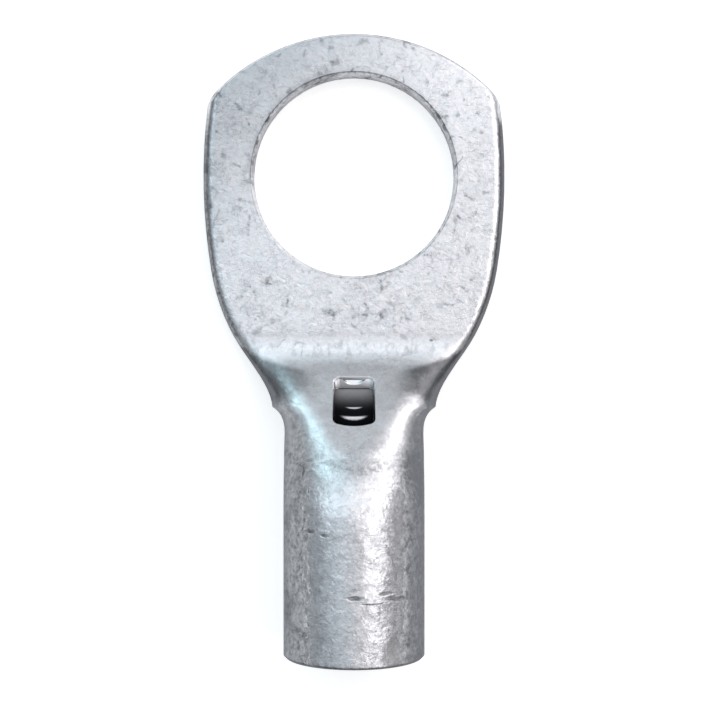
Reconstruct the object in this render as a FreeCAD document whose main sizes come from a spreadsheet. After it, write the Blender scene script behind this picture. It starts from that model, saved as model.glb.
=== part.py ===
import FreeCAD, Part
import math
import os
import Sketcher
from FreeCAD import Placement, Rotation, Vector

# A tubular ring terminal: one copper tube, pressed flat at one end into a palm with a
# stud hole, and left round at the other end for the wire. Lengths are in millimetres.
# The origin is the centre of the stud hole on the contact face, which is the underside.
# +Z is the stud's axis, the palm's tip is towards +Y and the barrel's mouth towards -Y.

SIZES = {
    # Barrel
    "barrel_diameter": 7.1,
    "barrel_wall": 0.85,
    "barrel_mouth": 24.45,
    "mouth_chamfer": 0.25,
    "mouth_edge": 0.12,
    # Palm: its sides are one wide arc beside the hole, then a tighter shoulder arc. The land
    # is the upright strip left between the two roundings of each folded side.
    "palm_thickness": 1.3,
    "palm_width": 15.74,
    "palm_root": 8.3,
    "side_radius": 30.5,
    "side_land": 0.06,
    "shoulder_start": 4.89,
    "shoulder_radius": 11.0,
    "tip_reach": 7.38,
    "tip_radius": 10.1,
    "tip_chamfer": 0.22,
    "stud_hole": 10.5,
    "hole_chamfer": 0.15,
    # Neck: a rounded bend, a flat slope and a rounded crest, seen from the side
    "slope_angle": 40.0,
    "slope_foot": 9.12,
    "bend_radius": 2.25,
    "crest_radius": 4.0,
    # Neck: the ears where the pressing stops, seen from above
    "ear_place": 12.0,
    "ear_width": 8.4,
    "ear_step": 0.3,
    "ear_flare": 0.12,
    # Neck: the flat facet on the slope, by the ears, at the crest and towards the palm
    "facet_width": 4.4,
    "facet_crest": 1.2,
    "facet_spread": 2.3,
    # Sight window
    "window_width": 1.94,
    "window_length": 3.0,
    "window_place": 10.5,
    "window_corner": 0.25,
    "window_bulge": 0.2,
    "window_chamfer": 0.1,
    "window_clearance": 0.5,
}

# Even spaces between the sections of each of the neck's two lengths
SPACES = 6
# A cubic curve's handles, as a share of its radius, that make it a quarter circle
ROUND = 4 / 3 * (math.sqrt(2) - 1)

START, END, CENTRE = range(1, 4)
X_AXIS, Y_AXIS = -1, -2

doc = FreeCAD.newDocument("ring_terminal")
sheet = doc.addObject("Spreadsheet::Sheet", "Sizes")
for row, (alias, value) in enumerate(SIZES.items(), start=1):
    sheet.set(f"A{row}", alias)
    sheet.set(f"B{row}", str(value))
    sheet.setAlias(f"B{row}", alias)
doc.recompute()


def size(alias):
    """The sheet's value for one driving dimension."""
    return float(sheet.get(alias))


def new_sketch(body, name, role):
    """A sketch on one of the body's own origin planes."""
    sketch = body.newObject("Sketcher::SketchObject", name)
    plane = next(f for f in body.Origin.OriginFeatures if f.Role == role)
    sketch.AttachmentSupport = [(plane, "")]
    sketch.MapMode = "FlatFace"
    return sketch


def constrain(sketch, kind, *where, formula=None):
    """One constraint, driven by a formula on the sheet's cells where one is given."""
    index = sketch.addConstraint(Sketcher.Constraint(kind, *where))
    if formula:
        sketch.setExpression(f"Constraints[{index}]", formula)


def chain(sketch, joints, count):
    """Join each edge of a closed outline to the next, by the kind of joint between them."""
    for index, kind in enumerate(joints):
        constrain(sketch, kind, index, END, (index + 1) % count, START)


def feature(body, kind, name, base, formulas, **settings):
    """A body's feature on a sketch or on edges, with its sizes bound to the sheet."""
    made = body.newObject(f"PartDesign::{kind}", name)
    if isinstance(base, tuple):
        made.Base = base
    else:
        made.Profile = base
    for key, value in settings.items():
        setattr(made, key, value)
    for key, formula in formulas.items():
        made.setExpression(key, formula)
    doc.recompute()
    return made


def edges_where(solid, test):
    """A feature with the names of its edges that pass a test."""
    names = [f"Edge{i}" for i, edge in enumerate(solid.Shape.Edges, start=1) if test(edge)]
    return solid, names


def mirrored(point):
    return Vector(-point.x, point.y)


def arc_between(centre, radius, first, last):
    """An arc given counter-clockwise by its two ends."""
    circle = Part.Circle(centre, Vector(0, 0, 1), radius)
    angles = [math.atan2(point.y - centre.y, point.x - centre.x) for point in (first, last)]
    return Part.ArcOfCircle(circle, *angles)


# Palm strip: the flattened end of the tube with folded sides, longer than the tip

thickness = size("palm_thickness")
land = size("side_land") / 2
root = size("palm_root")
side_radius = size("side_radius")
shoulder_radius = size("shoulder_radius")
strip_end = size("tip_reach") + 1
side_centre = Vector(size("palm_width") / 2 - side_radius, 0)


def on_side(y):
    """The point of the palm's side arc at y."""
    return Vector(side_centre.x + math.sqrt(side_radius ** 2 - y ** 2), y)


shoulder = on_side(-size("shoulder_start"))
shoulder_centre = shoulder + (side_centre - shoulder) * (shoulder_radius / side_radius)
shoulder_fall = root + shoulder_centre.y
root_half = shoulder_centre.x + math.sqrt(shoulder_radius ** 2 - shoulder_fall ** 2)
root_point = Vector(root_half, -root)
strip_corner = on_side(strip_end)

palm = doc.addObject("PartDesign::Body", "Palm")
strip = new_sketch(palm, "StripOutline", "XY_Plane")
strip.addGeometry([
    Part.LineSegment(mirrored(root_point), root_point),
    arc_between(shoulder_centre, shoulder_radius, root_point, shoulder),
    arc_between(side_centre, side_radius, shoulder, strip_corner),
    Part.LineSegment(strip_corner, mirrored(strip_corner)),
    arc_between(mirrored(side_centre), side_radius, mirrored(strip_corner), mirrored(shoulder)),
    arc_between(mirrored(shoulder_centre), shoulder_radius, mirrored(shoulder), mirrored(root_point)),
])
ROOT, SHOULDER, SIDE, TOP, LEFT_SIDE, LEFT_SHOULDER = range(6)
chain(strip, ["Coincident", "Tangent", "Coincident", "Coincident", "Tangent", "Coincident"], 6)
constrain(strip, "Symmetric", ROOT, START, ROOT, END, Y_AXIS)
constrain(strip, "Symmetric", TOP, START, TOP, END, Y_AXIS)
constrain(strip, "Equal", SHOULDER, LEFT_SHOULDER)
constrain(strip, "Equal", SIDE, LEFT_SIDE)
constrain(strip, "PointOnObject", SIDE, CENTRE, X_AXIS)
constrain(strip, "PointOnObject", LEFT_SIDE, CENTRE, X_AXIS)
constrain(strip, "Radius", SIDE, side_radius, formula="Sizes.side_radius")
constrain(strip, "Radius", SHOULDER, shoulder_radius, formula="Sizes.shoulder_radius")
constrain(strip, "DistanceX", SIDE, CENTRE, side_centre.x,
          formula="Sizes.palm_width / 2 - Sizes.side_radius")
constrain(strip, "DistanceY", SHOULDER, END, shoulder.y, formula="-Sizes.shoulder_start")
constrain(strip, "DistanceY", ROOT, END, -root, formula="-Sizes.palm_root")
constrain(strip, "DistanceY", TOP, START, strip_end, formula="Sizes.tip_reach + 1")
plate = feature(palm, "Pad", "Plate", strip, {"Length": "Sizes.palm_thickness"})
folds = feature(palm, "Fillet", "FoldedSides",
                edges_where(plate, lambda edge: isinstance(edge.Curve, Part.Circle)),
                {"Radius": "(Sizes.palm_thickness - Sizes.side_land) / 2"})

# Palm: the tip is sheared to an arc and the stud hole is punched

tip = new_sketch(palm, "TipOutline", "XY_Plane")
reach = 4 * side_radius
corners = [Vector(-reach, -reach), Vector(reach, -reach), Vector(reach, reach), Vector(-reach, reach)]
tip.addGeometry([Part.LineSegment(corners[i], corners[(i + 1) % 4]) for i in range(4)])
chain(tip, ["Coincident"] * 4, 4)
TIP_ARC = 4
tip.addGeometry(Part.Circle(Vector(0, size("tip_reach") - size("tip_radius")), Vector(0, 0, 1),
                            size("tip_radius")))
for line in range(4):
    constrain(tip, "Vertical" if line % 2 else "Horizontal", line)
constrain(tip, "Symmetric", 0, START, 1, END, X_AXIS, START)
constrain(tip, "DistanceX", 0, START, -reach, formula="-4 * Sizes.side_radius")
constrain(tip, "DistanceY", 0, START, -reach, formula="-4 * Sizes.side_radius")
constrain(tip, "Radius", TIP_ARC, size("tip_radius"), formula="Sizes.tip_radius")
constrain(tip, "PointOnObject", TIP_ARC, CENTRE, Y_AXIS)
constrain(tip, "DistanceY", TIP_ARC, CENTRE, size("tip_reach") - size("tip_radius"),
          formula="Sizes.tip_reach - Sizes.tip_radius")
feature(palm, "Pocket", "ShearedTip", tip, {}, Type="ThroughAll", Reversed=True)

hole = new_sketch(palm, "HoleOutline", "XY_Plane")
hole.addGeometry(Part.Circle(Vector(0, 0), Vector(0, 0, 1), size("stud_hole") / 2))
constrain(hole, "Coincident", 0, CENTRE, X_AXIS, START)
constrain(hole, "Radius", 0, size("stud_hole") / 2, formula="Sizes.stud_hole / 2")
punched = feature(palm, "Pocket", "StudHole", hole, {}, Type="ThroughAll", Reversed=True)


def on_top_arc(radius):
    """A test for an arc of this radius on the palm's upper face."""
    def test(edge):
        curve = edge.Curve
        at_top = edge.BoundBox.ZMin > thickness - 1e-6
        return at_top and isinstance(curve, Part.Circle) and abs(curve.Radius - radius) < 1e-6
    return test


rim = feature(palm, "Chamfer", "HoleRim", edges_where(punched, on_top_arc(size("stud_hole") / 2)),
              {"Size": "Sizes.hole_chamfer"})
pressed = feature(palm, "Chamfer", "TipEdge", edges_where(rim, on_top_arc(size("tip_radius"))),
                  {"Size": "Sizes.tip_chamfer"})

# Neck: the tube's section turns from the palm's flat strip into the barrel's circle.
# A station is a distance from the stud hole towards the barrel, and each section of the
# neck lies across the tube at one station.

wall = size("barrel_wall")
barrel_radius = size("barrel_diameter") / 2
slope = math.radians(size("slope_angle"))
foot = size("slope_foot")
bend = size("bend_radius")
bend_start = foot - bend * math.tan(slope / 2)
crest = size("crest_radius")
crest_end = foot + (2 * barrel_radius - thickness) / math.tan(slope) + crest * math.tan(slope / 2)


def roof(station, depth=0):
    """The height of the neck's top, or of a surface at some depth under it all along:
    palm, rounded bend, slope, rounded crest."""
    low, high = bend + depth, crest - depth
    if station <= bend_start:
        return thickness - depth
    if station < bend_start + low * math.sin(slope):
        return thickness + bend - math.sqrt(low ** 2 - (station - bend_start) ** 2)
    if station <= crest_end - high * math.sin(slope):
        return thickness + (station - foot) * math.tan(slope) - depth / math.cos(slope)
    return 2 * barrel_radius - crest + math.sqrt(high ** 2 - (crest_end - station) ** 2)


ear = size("ear_place")
ear_half = size("ear_width") / 2
root_flare = shoulder_fall / math.sqrt(shoulder_radius ** 2 - shoulder_fall ** 2)


def cubic(station, first, last):
    """A smooth curve between two points, each given as station, value and slope."""
    run = last[0] - first[0]
    u = (station - first[0]) / run
    value = first[1] + (last[1] - first[1]) * (3 * u ** 2 - 2 * u ** 3)
    return value + run * (first[2] * (u ** 3 - 2 * u ** 2 + u) + last[2] * (u ** 3 - u ** 2))


def flank(station):
    """Half the neck's width: smooth from the palm's shoulder to the ear, then a quick step in."""
    if station > ear:
        return barrel_radius + (ear_half - barrel_radius) * math.exp((ear - station) / size("ear_step"))
    return cubic(station, (root, root_half, -root_flare), (ear, ear_half, -size("ear_flare")))


folded_radius = shoulder_radius - (thickness - size("side_land")) / 2
root_flat = shoulder_centre.x + math.sqrt(folded_radius ** 2 - shoulder_fall ** 2)
flat_flare = shoulder_fall / (root_flat - shoulder_centre.x)
facet_ear = size("facet_width") / 2
facet_crest = size("facet_crest") / 2
facet_narrowing = (facet_ear - facet_crest) / (crest_end - ear)
spread_end = root + size("facet_spread")


def facet(station):
    """Half the width of the slope's flat facet, which spreads out to the palm's own flat."""
    if station < spread_end:
        spread_half = facet_ear + (ear - spread_end) * facet_narrowing
        return cubic(station, (root, root_flat, -flat_flare), (spread_end, spread_half, -facet_narrowing))
    return facet_ear + (ear - station) * facet_narrowing


def roundness(station):
    """How far a section has turned from flattened, 0, to oval, 1: it turns on the crest."""
    start = crest_end - crest * math.sin(slope)
    return cubic(station, (start, 0, 0), (crest_end, 1, 0)) if station > start else 0


def upper_right(half, rise, flat, share):
    """The control points of a section's top edge, rounded corner and side, from its centre.
    The share says how much of an oval is mixed into the flattened tube's outline."""
    bulge_out, bulge_up = flat + (half - flat) * ROUND, land + (rise - land) * ROUND
    flattened = [
        [(-flat, rise), (-flat / 3, rise), (flat / 3, rise), (flat, rise)],
        [(flat, rise), (bulge_out, rise), (half, bulge_up), (half, land)],
        [(half, land), (half, land / 3), (half, -land / 3), (half, -land)],
    ]
    steep, shallow = math.acos(flat / half), math.asin(land / rise)
    edges = []
    turns = [(math.pi - steep, steep), (steep, shallow), (shallow, -shallow)]
    for poles, (first, last) in zip(flattened, turns):
        handle = 4 / 3 * math.tan((first - last) / 4)
        start, end = [Vector(half * math.cos(turn), 0, rise * math.sin(turn)) for turn in (first, last)]
        leave, arrive = [Vector(half * math.sin(turn), 0, -rise * math.cos(turn)) * handle
                         for turn in (first, last)]
        oval = [start, start + leave, end - arrive, end]
        edges.append([Vector(x, 0, z) * (1 - share) + p * share for (x, z), p in zip(poles, oval)])
    return edges


def pressed_section(station, half, floor, top, flat):
    """A section of the pressed tube: flat above and below, with a rounded quarter at each corner."""
    edges = upper_right(half, (top - floor) / 2, flat, roundness(station))
    edges.append([Vector(p.x, 0, -p.z) for p in reversed(edges[1])])
    edges += [[p * -1 for p in poles] for poles in edges]
    centre = Vector(0, -station, (floor + top) / 2)
    curves = []
    for poles in edges:
        curve = Part.BezierCurve()
        curve.setPoles([centre + p for p in poles])
        curves.append(curve.toShape())
    return Part.Wire(curves)


def round_section(radius, flat):
    """The circle at the crest's end, split into the same eight edges as a pressed section."""
    steep = math.acos(flat / radius)
    shallow = math.asin(land / radius)
    right = [steep, shallow, -shallow, -steep]
    angles = right + [math.pi - angle for angle in reversed(right)]
    centre = Vector(0, -crest_end, barrel_radius)
    edges = []
    for first, second in zip(angles, angles[1:] + angles[:1]):
        turn = (first - second) % (2 * math.pi)
        stops = [first - share * turn for share in (0, 0.5, 1)]
        points = [centre + Vector(math.cos(stop), 0, math.sin(stop)) * radius for stop in stops]
        edges.append(Part.Arc(*points).toShape())
    return Part.Wire(edges)


def skin_section(station):
    """The tube's outside."""
    return pressed_section(station, flank(station), 0, roof(station), facet(station))


def inner_section(station):
    """The space inside the tube: a wall's thickness in from the skin on every side."""
    half = flank(station) - wall
    flat = facet(station) * half / flank(station)
    return pressed_section(station, half, wall, roof(station, wall), flat)


def neck_form(section, first, first_wire, last_wire):
    """A solid over the neck's sections, in two lengths that meet with a corner at the ears."""
    before = [first + (ear - first) * i / SPACES for i in range(1, SPACES)]
    behind = [ear + (crest_end - ear) * i / SPACES for i in range(1, SPACES)]
    at_ear = section(ear)
    lengths = [
        Part.makeLoft([first_wire] + [section(d) for d in before] + [at_ear], True, False),
        Part.makeLoft([at_ear] + [section(d) for d in behind] + [last_wire], True, False),
    ]
    return lengths[0].fuse(lengths[1])


# The inside starts where the roof's wall has left the floor's by a slit's height
fine = [root + (ear - root) * i / 100 for i in range(100)]
closing = next(d for d in fine if roof(d, wall) > wall + 3 * land)
root_face = next(face for face in pressed.Shape.Faces if face.BoundBox.YMax < 1e-6 - root)
root_wire = Part.Wire(Part.sortEdges(root_face.Edges)[0])
skin = neck_form(skin_section, root, root_wire, round_section(barrel_radius, facet_crest))
bore_radius = barrel_radius - wall
cavity = neck_form(inner_section, closing, inner_section(closing),
                   round_section(bore_radius, facet_crest * bore_radius / barrel_radius))

neck = doc.addObject("Part::Feature", "Neck")
neck.Shape = skin.cut(cavity)

# Barrel: its wall's profile turned about the wire's axis, chamfered inside at the mouth

barrel = doc.addObject("PartDesign::Body", "Barrel")
profile = new_sketch(barrel, "WallProfile", "YZ_Plane")
chamfer = size("mouth_chamfer")
mouth = -size("barrel_mouth")
wall_points = [
    Vector(-crest_end, barrel_radius + bore_radius),
    Vector(-crest_end, 2 * barrel_radius),
    Vector(mouth, 2 * barrel_radius),
    Vector(mouth, barrel_radius + bore_radius + chamfer),
    Vector(mouth + chamfer, barrel_radius + bore_radius),
]
profile.addGeometry([Part.LineSegment(wall_points[i], wall_points[(i + 1) % 5]) for i in range(5)])
chain(profile, ["Coincident"] * 5, 5)
AXIS = 5
axis_ends = Vector(mouth, barrel_radius), Vector(-crest_end, barrel_radius)
profile.addGeometry(Part.LineSegment(*axis_ends), True)
constrain(profile, "Vertical", 0)
constrain(profile, "Horizontal", 1)
constrain(profile, "Vertical", 2)
constrain(profile, "Horizontal", 4)
constrain(profile, "Horizontal", AXIS)
constrain(profile, "PointOnObject", AXIS, START, 2)
constrain(profile, "PointOnObject", AXIS, END, 0)
CREST_END = ("Sizes.slope_foot"
             " + (Sizes.barrel_diameter - Sizes.palm_thickness) / tan(Sizes.slope_angle * 1 deg)"
             " + Sizes.crest_radius * tan(Sizes.slope_angle * 0.5 deg)")
constrain(profile, "DistanceX", 0, START, -crest_end, formula=f"-({CREST_END})")
constrain(profile, "DistanceX", 2, START, mouth, formula="-Sizes.barrel_mouth")
constrain(profile, "DistanceY", AXIS, START, barrel_radius, formula="Sizes.barrel_diameter / 2")
constrain(profile, "DistanceY", 1, START, 2 * barrel_radius, formula="Sizes.barrel_diameter")
constrain(profile, "DistanceY", 0, START, 0, END, wall, formula="Sizes.barrel_wall")
constrain(profile, "DistanceX", 3, START, 3, END, chamfer, formula="Sizes.mouth_chamfer")
constrain(profile, "DistanceY", 3, END, 3, START, chamfer, formula="Sizes.mouth_chamfer")
turned = feature(barrel, "Revolution", "Turned", profile, {},
                 ReferenceAxis=(profile, ["Axis0"]), Angle=360)


def is_mouth_edge(edge):
    box = edge.BoundBox
    return box.YMax < mouth + 1e-6 and box.ZLength > 2 * barrel_radius - 1e-6


feature(barrel, "Chamfer", "MouthEdge", edges_where(turned, is_mouth_edge),
        {"Size": "Sizes.mouth_edge"})

# Ring terminal: palm, neck and barrel are one piece of tube

tube = doc.addObject("Part::MultiFuse", "Tube")
tube.Shapes = [palm, neck, barrel]
tube.Refine = True
doc.recompute()

terminal = doc.addObject("PartDesign::Body", "RingTerminal")
terminal.Label = "ring_terminal"
terminal.BaseFeature = tube
doc.recompute()

# Sight window: punched square to the slope, through the upper wall only. The punch and the
# chamfer of the rim have the same outline, drawn at two heights over the slope.

slope_normal = Vector(0, math.sin(slope), math.cos(slope))
window_half = size("window_width") / 2
window_length = size("window_length")
rounding = size("window_corner")
bulge = size("window_bulge")
window_top = -(size("window_place") - foot) / math.cos(slope)
bulge_radius = (window_half ** 2 + bulge ** 2) / 2 / bulge
bulge_centre = Vector(0, window_top - window_length + bulge_radius)
straight = window_half - rounding
low_centre = Vector(straight, bulge_centre.y - math.sqrt((bulge_radius - rounding) ** 2 - straight ** 2))
low_touch = bulge_centre + (low_centre - bulge_centre) * (bulge_radius / (bulge_radius - rounding))
top_centre = Vector(straight, window_top - rounding)
across, upward = Vector(rounding, 0), Vector(0, rounding)
WINDOW_TOP = "-(Sizes.window_place - Sizes.slope_foot) / cos(Sizes.slope_angle * 1 deg)"
BULGE_RADIUS = "(Sizes.window_width ^ 2 / 4 + Sizes.window_bulge ^ 2) / 2 / Sizes.window_bulge"
TOP_EDGE, TOP_LEFT, LEFT, LOW_LEFT, BULGE, LOW_RIGHT, RIGHT, TOP_RIGHT = range(8)


def window_outline(name, lift, formula):
    """A sketch of the window, parallel to the slope and lifted off it."""
    outline = new_sketch(terminal, name, "XY_Plane")
    outline.AttachmentOffset = Placement(Vector(0, -foot, thickness) + slope_normal * lift,
                                         Rotation(Vector(1, 0, 0), -size("slope_angle")))
    outline.setExpression("AttachmentOffset.Base.y",
                          f"-Sizes.slope_foot + {formula} * sin(Sizes.slope_angle * 1 deg)")
    outline.setExpression("AttachmentOffset.Base.z",
                          f"Sizes.palm_thickness + {formula} * cos(Sizes.slope_angle * 1 deg)")
    outline.setExpression("AttachmentOffset.Rotation.Angle", "-Sizes.slope_angle * 1 deg")
    outline.addGeometry([
        Part.LineSegment(top_centre + upward, mirrored(top_centre) + upward),
        arc_between(mirrored(top_centre), rounding,
                    mirrored(top_centre) + upward, mirrored(top_centre) - across),
        Part.LineSegment(mirrored(top_centre) - across, mirrored(low_centre) - across),
        arc_between(mirrored(low_centre), rounding, mirrored(low_centre) - across, mirrored(low_touch)),
        arc_between(bulge_centre, bulge_radius, mirrored(low_touch), low_touch),
        arc_between(low_centre, rounding, low_touch, low_centre + across),
        Part.LineSegment(low_centre + across, top_centre + across),
        arc_between(top_centre, rounding, top_centre + across, top_centre + upward),
    ])
    chain(outline, ["Tangent"] * 8, 8)
    constrain(outline, "Symmetric", TOP_EDGE, START, TOP_EDGE, END, Y_AXIS)
    constrain(outline, "Vertical", LEFT)
    constrain(outline, "Vertical", RIGHT)
    for corner in (LOW_LEFT, LOW_RIGHT, TOP_RIGHT):
        constrain(outline, "Equal", TOP_LEFT, corner)
    constrain(outline, "PointOnObject", BULGE, CENTRE, Y_AXIS)
    constrain(outline, "Radius", TOP_LEFT, rounding, formula="Sizes.window_corner")
    constrain(outline, "DistanceX", LEFT, START, RIGHT, START, 2 * window_half,
              formula="Sizes.window_width")
    constrain(outline, "DistanceY", TOP_EDGE, START, window_top, formula=WINDOW_TOP)
    constrain(outline, "Radius", BULGE, bulge_radius, formula=BULGE_RADIUS)
    constrain(outline, "DistanceY", BULGE, CENTRE, bulge_centre.y,
              formula=f"{WINDOW_TOP} - Sizes.window_length + {BULGE_RADIUS}")
    doc.recompute()
    return outline


punch = window_outline("WindowOutline", size("window_clearance"), "Sizes.window_clearance")
feature(terminal, "Pocket", "SightWindow", punch,
        {"Length": "Sizes.barrel_wall + 2 * Sizes.window_clearance"})
rim_outline = window_outline("RimOutline", -size("window_chamfer"), "-Sizes.window_chamfer")
feature(terminal, "Pocket", "WindowRim", rim_outline,
        {"Length": "Sizes.window_chamfer + Sizes.window_clearance"}, Reversed=True, TaperAngle=45)

os.makedirs("parts", exist_ok=True)
for item in doc.Objects:
    if "Invalid" in item.State or "Error" in item.State:
        raise RuntimeError(f"{item.Name} is {item.State}")
shape = terminal.Shape
if shape.isNull() or not shape.isValid():
    raise RuntimeError(f"{terminal.Label} has no valid shape")
shape.exportStep(f"parts/{terminal.Label}.step")
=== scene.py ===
import math

import bmesh
import bpy
from bpy.props import FloatProperty, FloatVectorProperty, PointerProperty
from mathutils import Matrix, Vector
from mathutils.bvhtree import BVHTree


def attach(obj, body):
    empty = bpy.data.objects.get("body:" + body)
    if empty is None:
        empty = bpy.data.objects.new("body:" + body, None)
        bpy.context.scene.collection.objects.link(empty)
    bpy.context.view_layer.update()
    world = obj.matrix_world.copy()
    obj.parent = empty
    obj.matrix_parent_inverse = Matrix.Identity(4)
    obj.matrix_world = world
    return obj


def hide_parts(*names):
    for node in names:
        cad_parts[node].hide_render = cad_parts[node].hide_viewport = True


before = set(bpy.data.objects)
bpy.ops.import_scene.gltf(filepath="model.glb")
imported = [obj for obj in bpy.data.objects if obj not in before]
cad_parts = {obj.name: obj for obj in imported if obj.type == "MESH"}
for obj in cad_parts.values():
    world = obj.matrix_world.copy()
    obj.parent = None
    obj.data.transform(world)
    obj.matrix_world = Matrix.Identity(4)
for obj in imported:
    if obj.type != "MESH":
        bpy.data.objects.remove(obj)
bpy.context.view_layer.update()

bl_info = {
    "name": "Ring terminal",
    "version": (1, 0, 0),
    "blender": (4, 5, 0),
    "location": "3D View > Sidebar > Ring terminal",
    "description": "A tin-plated tubular ring terminal lying on a pale floor",
    "category": "Object",
}

MM = 0.001
NODE = "ring_terminal"

# Colours of the lamps and of the sky
WHITE, PALE_BLUE = (1, 0.975, 0.985), (0.84, 0.93, 1)
BLUISH, CYAN = (0.70, 0.92, 1), (0.58, 0.93, 1)

# The picture's width and the focal length, in pixels, and the camera sensor's width, in mm
PICTURE_WIDTH, FOCAL_LENGTH, SENSOR_WIDTH = 708, 1440, 36
NECK = 9 * MM  # how far behind the stud hole the lamps aim
FLOOR_GAP = 0.02 * MM  # between the floor and the underside

# The flat of the slope, in mm: how far behind the stud hole it starts to narrow and ends, half
# its width at the start, and where the crest behind it has turned into the round barrel
FLAT_START, FLAT_END, FLAT_HALF, CREST_END = 11.5, 14.4, 2.1, 17.45
FLAT_POINT = 0.7  # less than 1 is a rounder tip
SKIN_STEPS = (0.6, 0.3)  # in mm: how long the skin's edges may be there, in two passes

# The sight window in the slope, in mm: from where to where it reaches behind the stud hole, a
# place beside it, and the height that all of its walls are above
WINDOW_START, WINDOW_END, BESIDE_WINDOW, WINDOW_FOOT = 10.2, 13.6, 1.2, 1.5
SLOPE = math.radians(40)
HOLE_REACH = 5.6  # in mm: a little more than the stud hole with its chamfer

# A line through the hollow of the neck, from where its walls meet to where the barrel starts
HOLLOW_START, HOLLOW_END = Vector((0, -10.0, 1.9)) * MM, Vector((0, -17.5, 5.6)) * MM

# What a face's normal tells, as the part of it that points one way: along the slope's own
# normal, along the barrel, straight up, and just upwards
ON_SLOPE, ON_END, LEVEL, UPPER = 0.95, 0.9, 0.9999, 0.02
CREASE = math.radians(50)  # edges that turn more than this are sharp

# Where the look changes on the outside, in mm: ahead of the stud hole's centre, across the
# terminal, or from the hole's centre. A pair is where a change begins and where it is complete
PALM, MOUTH, TIP, ARCH = (-9.6, -7.6), (-24.40, -24.25), (2.0, 3.5), (3.0, 6.5)
PRESS_START, PRESS_END = (-9.55, -9.25), (-8.85, -8.6)
SMOOTH_START, SMOOTH_END = (-14.8, -13.0), (-8.6, -7.8)
BEND_START, BEND_END = (-10.0, -9.6), (-8.4, -7.9)
FLANK_ACROSS, FLANK_START, FLANK_END = (1.5, 4.0), (-12.1, -11.0), (-10.60, -10.15)
HOLE_WALL, HOLE_RIM, BESIDE_HOLE, BEYOND_HOLE = (5.5, 5.7), (5.7, 6.6), (5.6, 6.4), (5.7, 6.2)
RIM_TOP, WALL_TOP, WALL_LEFT = (-3.0, 3.5), (-0.5, 1.0), (-3.0, -1.5)
RIGHT_SIDE, RIGHT_FLANK = (2.2, 3.2), (2.0, 3.5)
BEND_CURVE = 0.04  # how much the bend's line curves back towards the sides

# The same on the inside. A painted glint is across, along, half its width across and half along
LOW_GLINT, SLIGHT_GLINT = (0.0, -12.65, 0.85, 0.14), (0.0, -12.11, 0.55, 0.07)
LIP, CORNER, PUNCHED, CLOSING, BORE = (
    (-10.93, -10.78), (0.72, 0.92), (-11.12, -11.04), (-12.35, -10.9), (-17.0, -14.5))
CHAMFER_HEIGHT, LIP_HEIGHT, PUNCHED_HEIGHT = (2.32, 2.36), 2.0, 1.78
GLINT_CURVE, LIP_CURVE = 0.25, 0.9

CENTRED = (-0.5, -0.5, -0.5)  # moves a noise's middle to 0

# Handling marks on the plating, in mm: across, along, half the size across and half along
SCUFFS = (
    (0.00, -21.03, 0.55, 0.15),
    (1.55, -20.82, 0.48, 0.14),
    (1.98, -21.10, 0.55, 0.20),
    (0.95, -21.28, 0.75, 0.05),
    (-2.10, -17.85, 0.38, 0.18),
    (-1.42, -18.04, 0.24, 0.11),
    (-2.50, -15.05, 0.07, 0.32),
    (-2.25, -15.95, 0.06, 0.22),
    (3.99, -8.56, 0.12, 0.07),
)


class TerminalSettings(bpy.types.PropertyGroup):
    """The plating's look, with the colours of its painted shade."""
    tin: FloatVectorProperty(
        name="Tin", description="Colour of the clean tin plating",
        subtype="COLOR", size=3, min=0, max=1, default=(0.90, 0.905, 0.935))
    # Besides the plating's dull marks, this colour paints the shade on the steep skin, the hole's
    # rim, the palm's upper left and the neck's sides
    tarnish_and_shade: FloatVectorProperty(
        name="Tarnish", description="Colour of the plating where it is dull",
        subtype="COLOR", size=3, min=0, max=1, default=(0.17, 0.175, 0.185))
    # This near-black colour is painted shade: the tube's inside is painted dark where little light
    # reaches it
    inside: FloatVectorProperty(
        name="Inside", description="Colour of the thin plating inside the tube",
        subtype="COLOR", size=3, min=0, max=1, default=(0.010, 0.011, 0.013))
    satin: FloatProperty(
        name="Satin", description="Roughness of the clean plating",
        subtype="FACTOR", min=0, max=1, default=0.30)
    grain: FloatProperty(
        name="Grain", description="Height of the plating's grain",
        unit="LENGTH", min=0, default=0.012 * MM)


class StudioSettings(bpy.types.PropertyGroup):
    """The floor, the light and the camera."""
    floor_size: FloatProperty(
        name="Floor size", description="Length of the square floor's side",
        unit="LENGTH", min=0, default=6000 * MM)
    key: FloatProperty(
        name="Key light", description="Power of the long white light on the right",
        min=0, default=0.17)
    fill: FloatProperty(
        name="Fill light", description="Power of the bluish light behind on the left",
        min=0, default=0.042)
    overhead: FloatProperty(
        name="Overhead light", description="Power of the broad light over the neck",
        min=0, default=0.036)
    low_key: FloatProperty(
        name="Low key light",
        description="Power of the white light near the floor, behind on the right",
        min=0, default=0.14)
    low_fill: FloatProperty(
        name="Low fill light",
        description="Power of the bluish light near the floor, behind on the left",
        min=0, default=0.055)
    camera_height: FloatProperty(
        name="Camera height", description="Height of the camera over the floor",
        unit="LENGTH", min=0, default=76 * MM)
    camera_place: FloatProperty(
        name="Camera place", description="How far behind the stud hole the camera stands",
        unit="LENGTH", default=9.286 * MM)


class Wire:
    """A value in a node tree. Python's operators on it add Math nodes."""

    def __init__(self, nodes, socket):
        self.nodes = nodes
        self.socket = socket

    def math(self, operation, *values):
        return self.nodes.add("ShaderNodeMath", [self, *values], operation=operation)

    def __add__(self, other):
        return self.math("ADD", other)

    __radd__ = __add__

    def __mul__(self, other):
        return self.math("MULTIPLY", other)

    __rmul__ = __mul__

    def __sub__(self, other):
        return self.math("SUBTRACT", other)

    def __rsub__(self, other):
        return self.nodes.add("ShaderNodeMath", [other, self], operation="SUBTRACT")

    def __abs__(self):
        return self.math("ABSOLUTE")


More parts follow.
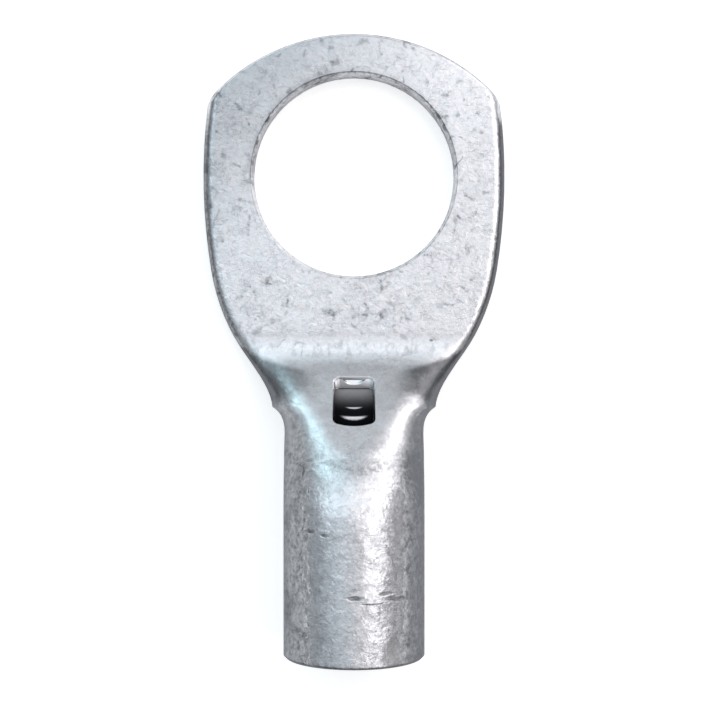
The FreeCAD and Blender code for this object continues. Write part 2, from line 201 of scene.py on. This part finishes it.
class Nodes:
    """The node tree of a material or of the world, being put together."""

    def __init__(self, owner):
        owner.use_nodes = True
        self.tree = owner.node_tree
        self.tree.nodes.clear()

    def add(self, kind, values=(), output=0, **settings):
        """Add one node. Its settings come first, then its sockets get their values or links."""
        node = self.tree.nodes.new(kind)
        for key, value in settings.items():
            setattr(node, key, value)
        named = values.items() if isinstance(values, dict) else enumerate(values)
        for key, value in named:
            if isinstance(value, Wire):
                self.tree.links.new(value.socket, node.inputs[key])
            else:
                node.inputs[key].default_value = value
        return Wire(self, node.outputs[output]) if node.outputs else None

    def place(self):
        """The place on the object, in mm."""
        return self.scaled(self.add("ShaderNodeTexCoord", output="Object"), (1 / MM,) * 3)

    def part(self, vector, axis):
        """One of a vector's three numbers."""
        return self.add("ShaderNodeSeparateXYZ", [vector], output=axis)

    def band(self, value, low, high):
        """0 below low, 1 above high, smooth between."""
        return self.add("ShaderNodeMapRange", {"Value": value, "From Min": low, "From Max": high},
                        interpolation_type="SMOOTHSTEP", clamp=True)

    def between(self, value, start, end):
        """1 between two changes, 0 outside them."""
        return self.band(value, *start) * (1 - self.band(value, *end))

    def noise(self, place, scale, detail=2.0, roughness=0.5, distortion=0.0, output="Fac"):
        return self.add("ShaderNodeTexNoise", {
            "Vector": place, "Scale": scale, "Detail": detail, "Roughness": roughness,
            "Distortion": distortion}, output=output)

    def scaled(self, vector, scale):
        return self.add("ShaderNodeVectorMath", [vector, scale], operation="MULTIPLY")

    def moved(self, vector, offset):
        return self.add("ShaderNodeVectorMath", [vector, offset], operation="ADD")

    def spot(self, place, across, along, half_across, half_along):
        """1 in the middle of a small oval, 0 outside it, seen from above."""
        from_middle = self.moved(place, (-across, -along, 0))
        near = self.scaled(from_middle, (1 / half_across, 1 / half_along, 0))
        reach = self.add("ShaderNodeVectorMath", [near], output="Value", operation="LENGTH")
        return 1 - self.band(reach, 0.35, 1.0)

    def mix(self, share, first, second):
        """Mix two colours."""
        return self.add("ShaderNodeMix", {"Factor": share, 6: first, 7: second}, output=2,
                        data_type="RGBA")


def crystals(tin, wandering):
    """The plating's crystals: where their borders are, and each one's tone and tilt."""
    from_border = tin.add("ShaderNodeTexVoronoi", {"Vector": wandering, "Scale": 2.3},
                          output="Distance", feature="DISTANCE_TO_EDGE")
    flake = {"Vector": wandering, "Scale": 3.6}
    tone = tin.add("ShaderNodeTexVoronoi", flake, output="Color")
    centre = tin.add("ShaderNodeTexVoronoi", flake, output="Position")
    from_centre = tin.add("ShaderNodeVectorMath", [wandering, centre], operation="SUBTRACT")
    tilt = tin.add("ShaderNodeVectorMath", [from_centre, tin.moved(tone, CENTRED)],
                   output="Value", operation="DOT_PRODUCT")
    return 1 - tin.band(from_border, 0.0, 0.13), tin.part(tone, "X"), tilt


def painted_steep_shade(tin, across, along, upright, palm, from_hole):
    """Painted shade on the steep skin: the hole's wall, the palm's long edges, the barrel's sides,
    more on the right.
    """
    side = tin.band(from_hole, *BESIDE_HOLE) * palm
    right = tin.band(across, *RIGHT_SIDE)
    # Painted shade: the steeper a face, the darker it is painted
    steep_shade = 1 - tin.band(upright - side * 0.10, 0.63, 0.84)
    steep_shade = steep_shade * (0.43 + (1 - palm) * (0.11 + right * 0.16) + side * (0.22 + right * 0.40))
    # Painted light: the palm's tip and the lower half of the hole's wall are painted lighter,
    # where they catch the light
    tip = tin.band(from_hole, *BEYOND_HOLE) * tin.band(along, *TIP)
    low_wall = (1 - tin.band(from_hole, *HOLE_WALL)) * (1 - tin.band(along, *WALL_TOP))
    painted_lit = tip + low_wall * (1 - tin.band(across, *WALL_LEFT) * 0.5)
    return steep_shade * (1 - painted_lit * 0.85)


def handling_marks(tin, place, drift):
    """The scuffs, dents and the spot, with ragged outlines."""
    ragged = tin.moved(place, tin.scaled(drift, (0.35, 0.18, 0)))
    marks = 0.0
    for mark in SCUFFS:
        marks = tin.spot(ragged, *mark) + marks
    return marks


def tinned_copper(settings):
    """Satin tin plating: pale and mottled, with short dull dashes and a few scuffs, painted shade
    on its steep skin, hole rim, palm and neck sides, and painted light on the palm's tip.
    """
    material = bpy.data.materials.new("tinned_copper")
    tin = Nodes(material)
    clean, tarnish_and_shade = (*settings.tin, 1), (*settings.tarnish_and_shade, 1)
    place = tin.place()
    across, along = tin.part(place, "X"), tin.part(place, "Y")
    upright = abs(tin.part(tin.add("ShaderNodeTexCoord", output="Normal"), "Z"))
    from_hole = tin.add("ShaderNodeVectorMath", [tin.scaled(place, (1, 1, 0))], output="Value",
                        operation="LENGTH")
    palm = tin.band(along, *PALM)
    top = tin.band(upright, 0.60, 0.81)
    smoother = tin.between(along, SMOOTH_START, SMOOTH_END)

    # Crystals of the plating, a fraction of a millimetre wide, with wandering borders
    drift = tin.moved(tin.noise(place, 1.7, 3, 0.6, output="Color"), CENTRED)
    drift = tin.scaled(drift, (1.1,) * 3)
    borders, flakes, facets = crystals(tin, tin.moved(place, drift))
    fine = tin.noise(place, 4.5, 4, 0.65)
    patches = tin.noise(place, 0.5, 3, 0.55, 0.5)
    sparse = tin.band(tin.noise(place, 1.1, 1), 0.40, 0.60)
    mottling = borders * sparse * (0.10 + palm * 0.10) + tin.band(fine, 0.42, 0.72) * 0.20
    mottling = mottling + flakes * 0.07 + tin.band(patches, 0.5, 0.72) * 0.16

    # Dull, soft dashes on the palm: wandering veins, of which only short pieces show
    wander = tin.noise(tin.moved(place, (8.3, 5.9, 0)), 0.7, 1, 0.5, 0.2)
    veins = 1 - tin.band(abs(wander - 0.5), 0.0, 0.06)
    pieces = tin.band(tin.noise(place, 2.0, 1), 0.50, 0.66)
    dashes = veins * pieces * (0.25 + palm * 0.75)

    # Painted shade: the hole's rim is painted darker on its upper half, and so is the palm's upper
    # left
    rim = (1 - tin.band(from_hole + fine * 1.4, *HOLE_RIM)) * tin.band(along, *RIM_TOP) * top
    upper_left_shade = tin.band(along - across, 0.0, 12.0) * palm * top

    # The bend is darker along its curve and has rubbed press marks; the neck's sides get painted
    # shade, most of all on the right
    curved = along - across * across * BEND_CURVE
    bend = tin.band(curved, *BEND_START) * (1 - tin.band(along, *BEND_END))
    rubbed = tin.band(tin.noise(tin.scaled(place, (2.2, 0.9, 1)), 1.6, 2), 0.5, 0.6)
    rubbed = tin.between(along, PRESS_START, PRESS_END) * rubbed
    flank = tin.band(abs(across), *FLANK_ACROSS) * tin.band(along, *FLANK_START)
    flank = flank * (1 - tin.band(curved, *FLANK_END))
    flank_shade = flank * (0.58 + tin.band(across, *RIGHT_FLANK) * 0.24)

    # Painted shade on the steep faces, painted light on the palm's tip and the hole's lower wall
    steep_shade = painted_steep_shade(tin, across, along, upright, palm, from_hole)
    scuffs = handling_marks(tin, place, drift)
    mouth = 1 - tin.band(along, *MOUTH)

    # How dark each place is: the plating's mottling, dull dashes, press marks and scuffs, painted
    # shade on the hole's rim, the steep skin and the neck's sides, a darker bend and barrel mouth,
    # and a little darker behind the palm
    dull = mottling * (1 - smoother * 0.55) + smoother * 0.03 + dashes * 0.34 + rim * 0.35
    dull = dull + bend * 0.12 + rubbed * 0.14 + steep_shade + flank_shade + scuffs * 0.42
    dull = dull + mouth * 0.6 + (1 - palm) * 0.08
    # Painted shade on the palm's upper left, and a little on the palm beyond the hole towards the
    # tip
    shaded = tin.mix(upper_left_shade * 0.46 + tin.band(along, *ARCH) * top * 0.06, clean, tarnish_and_shade)
    colour = tin.mix(tin.band(dull, 0, 1), shaded, tarnish_and_shade)
    rough = settings.satin + flakes * 0.08 + dashes * 0.15 + scuffs * 0.1

    ripple = tin.noise(place, 1.3, 2, 0.5)
    relief = fine * (1.0 - palm * 0.3) + ripple * (3.6 - palm * 1.6)
    relief = relief + facets * (6.3 - palm * 0.3) - borders * 0.15
    relief = relief * (1 - smoother * 0.5) - scuffs * 2.5
    bump = tin.add("ShaderNodeBump", {
        "Strength": 1.0, "Distance": settings.grain, "Height": relief})
    surface = tin.add("ShaderNodeBsdfPrincipled", {
        "Base Color": colour, "Metallic": 1.0, "Roughness": rough,
        "Specular Tint": (0.55, 0.55, 0.57, 1), "Normal": bump})
    tin.add("ShaderNodeOutputMaterial", {"Surface": surface})
    return material


def tube_inside(settings):
    """The tube's inside: painted near-black shade, lifted by two painted glints and by the
    window's rolled upper wall.
    """
    material = bpy.data.materials.new("tube_inside")
    dark = Nodes(material)
    place = dark.place()
    across, along, height = (dark.part(place, axis) for axis in "XYZ")
    curved = dark.add("ShaderNodeCombineXYZ", [across, along - across * across * GLINT_CURVE])
    # Two painted glints on the tube's floor, seen through the window
    painted_glints = dark.spot(curved, *LOW_GLINT) + dark.spot(curved, *SLIGHT_GLINT) * 0.6
    lip = dark.band(along - across * across * LIP_CURVE, *LIP)
    lip = lip * (1 - dark.band(height, *CHAMFER_HEIGHT))
    punched = dark.band(along, *PUNCHED)
    # Painted shade in the punched wall's corners
    corner_shade = dark.band(abs(across), *CORNER) * punched

    # The share of bright tin against the painted shade: painted glints, the lit lip and punched
    # wall, painted light towards the window's upper end and the open bore, painted shade in the
    # punched corners
    share = painted_glints + lip + punched * 0.40 + dark.band(along, *CLOSING) * 0.5 - corner_shade * 0.3
    share = share + (1 - dark.band(along, *BORE)) * 0.35 + dark.noise(place, 3.0, 3, 0.6) * 0.05
    colour = dark.mix(dark.band(share, 0, 1), (*settings.inside, 1), (*settings.tin, 1))

    # The upper wall is rolled: its height tilts it towards the sky
    rolled = (LIP_HEIGHT - height) * lip + (PUNCHED_HEIGHT - height) * punched * 0.80
    bump = dark.add("ShaderNodeBump", {"Strength": 1.0, "Distance": 1 * MM, "Height": rolled})
    surface = dark.add("ShaderNodeBsdfPrincipled", {
        "Base Color": colour, "Metallic": 1.0, "Roughness": 0.34 - painted_glints * 0.24, "Normal": bump})
    dark.add("ShaderNodeOutputMaterial", {"Surface": surface})
    return material


def faces_inwards(face):
    """Whether a face of the terminal is inside the tube, or a wall or the rim of the window."""
    centre = face.calc_center_median()
    by_window = WINDOW_START < -centre.y / MM < WINDOW_END and abs(centre.x) / MM < BESIDE_WINDOW
    if by_window and centre.z / MM > WINDOW_FOOT:
        return face.normal.dot(Vector((0, math.sin(SLOPE), math.cos(SLOPE)))) < ON_SLOPE
    share = (centre.y - HOLLOW_START.y) / (HOLLOW_END.y - HOLLOW_START.y)
    if share < 0:
        return False
    middle = HOLLOW_START.lerp(HOLLOW_END, min(share, 1))
    outward = centre - Vector((middle.x, centre.y, middle.z))
    return outward.dot(face.normal) < 0 and abs(face.normal.y) < ON_END


def round_off_flat(shape):
    """End the slope's flat in a rounded tip, by lowering the skin beside it towards the sides."""
    skin = BVHTree.FromBMesh(shape)
    for longest in SKIN_STEPS:
        coarse = [edge for edge in shape.edges if edge.calc_length() > longest * MM and all(
            FLAT_START < -vert.co.y / MM < CREST_END for vert in edge.verts)]
        bmesh.ops.subdivide_edges(shape, edges=coarse, cuts=1)
        cut = [face for face in shape.faces if len(face.verts) > 3]
        bmesh.ops.triangulate(shape, faces=cut)
    shape.normal_update()
    for vert in shape.verts:
        station = -vert.co.y / MM
        if not FLAT_START < station < CREST_END or vert.normal.z < UPPER:
            continue
        beside = BESIDE_WINDOW * MM if station < WINDOW_END else 0
        roof = skin.ray_cast(Vector((beside, vert.co.y, 1)), Vector((0, 0, -1)))[0].z
        half = skin.ray_cast(Vector((1, vert.co.y, roof / 2)), Vector((-1, 0, 0)))[0].x
        narrowing = min((station - FLAT_START) / (FLAT_END - FLAT_START), 1)
        flat = FLAT_HALF * MM * (1 - narrowing) ** FLAT_POINT
        outward = (abs(vert.co.x) - flat) / (half - flat)
        if vert.co.z > roof / 2 and 0 < outward < 1:
            lowered = roof / 2 * (1 + math.sqrt(1 - outward ** 2))
            vert.co.z = min(vert.co.z, lowered)


class OBJECT_OT_ring_terminal(bpy.types.Operator):
    """Add the terminal: one tube with a palm, a neck and a barrel"""
    bl_idname = "object.ring_terminal"
    bl_label = "Ring terminal"

    def execute(self, context):
        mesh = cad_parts[NODE].data.copy()
        mesh.name = "terminal"
        shape = bmesh.new()
        shape.from_mesh(mesh)
        bmesh.ops.remove_doubles(shape, verts=shape.verts, dist=0.001 * MM)
        round_off_flat(shape)
        for face in shape.faces:
            face.smooth = True
            face.material_index = 1 if faces_inwards(face) else 0
        for edge in shape.edges:
            # The flat palm's shading stops at the hole's chamfer
            by_hole = edge.verts[0].co.xy.length < HOLE_REACH * MM
            kinds = {(face.material_index, by_hole and face.normal.z > LEVEL)
                     for face in edge.link_faces}
            edge.smooth = len(kinds) == 1 and edge.calc_face_angle(math.pi) < CREASE
        mesh.materials.clear()
        mesh.materials.append(tinned_copper(context.scene.terminal))
        mesh.materials.append(tube_inside(context.scene.terminal))
        shape.to_mesh(mesh)
        shape.free()
        terminal = bpy.data.objects.new("terminal", mesh)
        context.collection.objects.link(terminal)
        weighted = terminal.modifiers.new("Even shading", "WEIGHTED_NORMAL")
        weighted.keep_sharp = True
        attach(terminal, "root")
        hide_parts(NODE)
        return {"FINISHED"}


def toward(lean, turn):
    """A direction: degrees from the vertical, and round it from +X."""
    lean, turn = math.radians(lean), math.radians(turn)
    level = math.sin(lean)
    return Vector((level * math.cos(turn), level * math.sin(turn), math.cos(lean)))


def soft_light(name, power, width, first, last, colour):
    """A long area light that faces the neck, as seen from it between two directions."""
    reach = 300 * MM
    middle = (first + last).normalized()
    along = (last - first).normalized()
    lamp = bpy.data.lights.new(name, "AREA")
    lamp.energy = power
    lamp.shape = "RECTANGLE"
    lamp.size = width
    lamp.size_y = 2 * reach * math.tan(first.angle(last) / 2)
    lamp.color = colour
    light = bpy.data.objects.new(name, lamp)
    light.matrix_world = Matrix((along.cross(middle), along, middle)).transposed().to_4x4()
    light.location = middle * reach + Vector((0, -NECK, 0))
    bpy.context.collection.objects.link(light)


class OBJECT_OT_terminal_stage(bpy.types.Operator):
    """Add the floor, the studio light and the camera"""
    bl_idname = "object.terminal_stage"
    bl_label = "Stage"

    def execute(self, context):
        settings = context.scene.studio
        shape = bmesh.new()
        bmesh.ops.create_grid(shape, x_segments=1, y_segments=1, size=settings.floor_size / 2)
        bmesh.ops.translate(shape, verts=shape.verts, vec=(0, 0, -FLOOR_GAP))
        mesh = bpy.data.meshes.new("floor")
        shape.to_mesh(mesh)
        shape.free()
        floor = bpy.data.objects.new("floor", mesh)
        context.collection.objects.link(floor)
        white = bpy.data.materials.new("pale_floor")
        pale = Nodes(white)
        seen = pale.add("ShaderNodeLightPath", output="Is Camera Ray").math(
            "MAXIMUM", pale.add("ShaderNodeLightPath", output="Is Glossy Ray")).math(
            "MAXIMUM", pale.add("ShaderNodeLightPath", output="Is Transmission Ray"))
        surface = pale.add("ShaderNodeAddShader", [
            pale.add("ShaderNodeBsdfDiffuse", {"Color": (0.8, 0.8, 0.8, 1)}),
            pale.add("ShaderNodeEmission", {"Strength": seen * 0.6})])
        pale.add("ShaderNodeOutputMaterial", {"Surface": surface})
        mesh.materials.append(white)

        world = bpy.data.worlds.new("studio")
        context.scene.world = world
        sky = Nodes(world)
        way = sky.add("ShaderNodeTexCoord", output="Generated")
        right, ahead, height = (sky.part(way, axis) for axis in "XYZ")
        glow = 0.16 + sky.band(height, 0.25, 0.97) * (0.30 + sky.band(ahead, -0.25, 0.05) * 0.54)
        over_neck = (1 - sky.band(abs(right), 0.45, 0.80)) * sky.band(ahead, 0.25, 0.60)
        glow = glow + over_neck * (0.28 - sky.band(ahead, 0.92, 0.985) * 0.06)
        tint = sky.mix(sky.band(right, -0.25, 0.12), (*PALE_BLUE, 1), (*WHITE, 1))
        background = sky.add("ShaderNodeBackground", {"Color": tint, "Strength": glow})
        sky.add("ShaderNodeOutputWorld", {"Surface": background})

        # Name, power, width in mm, the directions of its two ends, and colour
        for name, power, width, first, last, colour in (
                ("key", settings.key, 110, (34, -32), (56, 40), WHITE),
                ("fill", settings.fill, 90, (34, 165), (55, 144), BLUISH),
                ("overhead", settings.overhead, 120, (20, 105), (74, 96), BLUISH),
                ("low key", settings.low_key, 170, (60, 44), (85, 56), WHITE),
                ("low fill", settings.low_fill, 100, (66, 121), (82, 118), CYAN)):
            soft_light(name, power, width * MM, toward(*first), toward(*last), colour)

        camera = bpy.data.cameras.new("camera")
        camera.sensor_width = SENSOR_WIDTH
        camera.lens = SENSOR_WIDTH * FOCAL_LENGTH / PICTURE_WIDTH
        camera.clip_start = 1 * MM
        viewer = bpy.data.objects.new("camera", camera)
        viewer.location = (0, -settings.camera_place, settings.camera_height)
        context.collection.objects.link(viewer)
        context.scene.camera = viewer
        context.scene.view_settings.view_transform = "Standard"
        return {"FINISHED"}


class VIEW3D_PT_ring_terminal(bpy.types.Panel):
    """The terminal's and the stage's settings."""
    bl_label = "Ring terminal"
    bl_space_type = "VIEW_3D"
    bl_region_type = "UI"
    bl_category = "Ring terminal"

    def draw(self, context):
        for operator, settings in (("object.ring_terminal", context.scene.terminal),
                                   ("object.terminal_stage", context.scene.studio)):
            self.layout.operator(operator)
            for name in settings.bl_rna.properties.keys():
                if name not in ("rna_type", "name"):
                    self.layout.prop(settings, name)


CLASSES = (TerminalSettings, StudioSettings, OBJECT_OT_ring_terminal, OBJECT_OT_terminal_stage,
           VIEW3D_PT_ring_terminal)


def register():
    for cls in CLASSES:
        bpy.utils.register_class(cls)
    bpy.types.Scene.terminal = PointerProperty(type=TerminalSettings)
    bpy.types.Scene.studio = PointerProperty(type=StudioSettings)


def unregister():
    del bpy.types.Scene.studio
    del bpy.types.Scene.terminal
    for cls in reversed(CLASSES):
        bpy.utils.unregister_class(cls)


def main():
    register()
    bpy.ops.object.ring_terminal()
    bpy.ops.object.terminal_stage()


if __name__ == "__main__":
    main()
